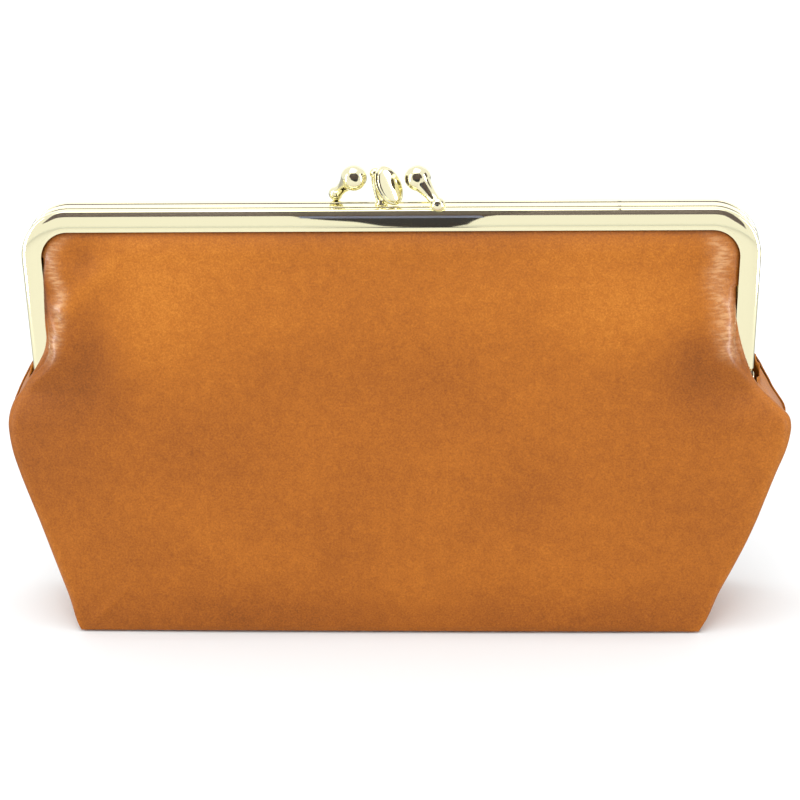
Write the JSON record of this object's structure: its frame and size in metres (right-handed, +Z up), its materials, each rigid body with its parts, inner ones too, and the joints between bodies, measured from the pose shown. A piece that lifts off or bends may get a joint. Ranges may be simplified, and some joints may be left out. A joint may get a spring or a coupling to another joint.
{
  "type": "frame purse",
  "caption": "Clutch purse in smooth leather on a metal kiss-lock frame; its front and back swing open on a shared hinge over two compartments.",
  "frame": {"origin": "under the middle of the flat base, at the floor", "axes": "+X towards the right end of the frame as the front faces the viewer, +Y towards the back, +Z up"},
  "size_m": [0.2054, 0.0406, 0.1223],
  "materials": {
    "gold": "mirror-polished pale gold plating",
    "leather": "smooth satin tan leather",
    "cloth": "brown cotton lining",
    "card": "grey card",
    "paper": "twisted kraft paper"
  },
  "bodies": {
    "bag": {"middle_frame": "gold", "middle_clasp": "gold", "left_hinge_rivet": "gold", "right_hinge_rivet": "gold", "middle_packing_cord": "paper", "divider_board": "card", "divider_front_lining": "cloth", "divider_back_lining": "cloth", "outer_shell": "leather", "left_gusset": "leather", "right_gusset": "leather", "base_board": "card", "front_pocket_lining": "cloth", "back_pocket_lining": "cloth", "front_panel_fold": "leather", "back_panel_fold": "leather", "front_lining_fold": "cloth", "back_lining_fold": "cloth"},
    "front_half": {"front_frame": "gold", "front_clasp": "gold", "front_packing_cord": "paper", "front_panel": "leather", "front_upper_lining": "cloth"},
    "back_half": {"back_frame": "gold", "back_clasp": "gold", "back_packing_cord": "paper", "back_panel": "leather", "back_upper_lining": "cloth"}
  },
  "joints": [
    {"name": "front_half_hinge", "type": "hinge", "parent": "bag", "child": "front_half", "pos_m": [0, 0, 0.064], "axis": [1, 0, 0], "range_deg": [0, 45], "deforming": ["front_panel_fold", "front_lining_fold"]},
    {"name": "back_half_hinge", "type": "hinge", "parent": "bag", "child": "back_half", "pos_m": [0, 0, 0.064], "axis": [-1, 0, 0], "range_deg": [0, 45], "deforming": ["back_panel_fold", "back_lining_fold"]}
  ]
}
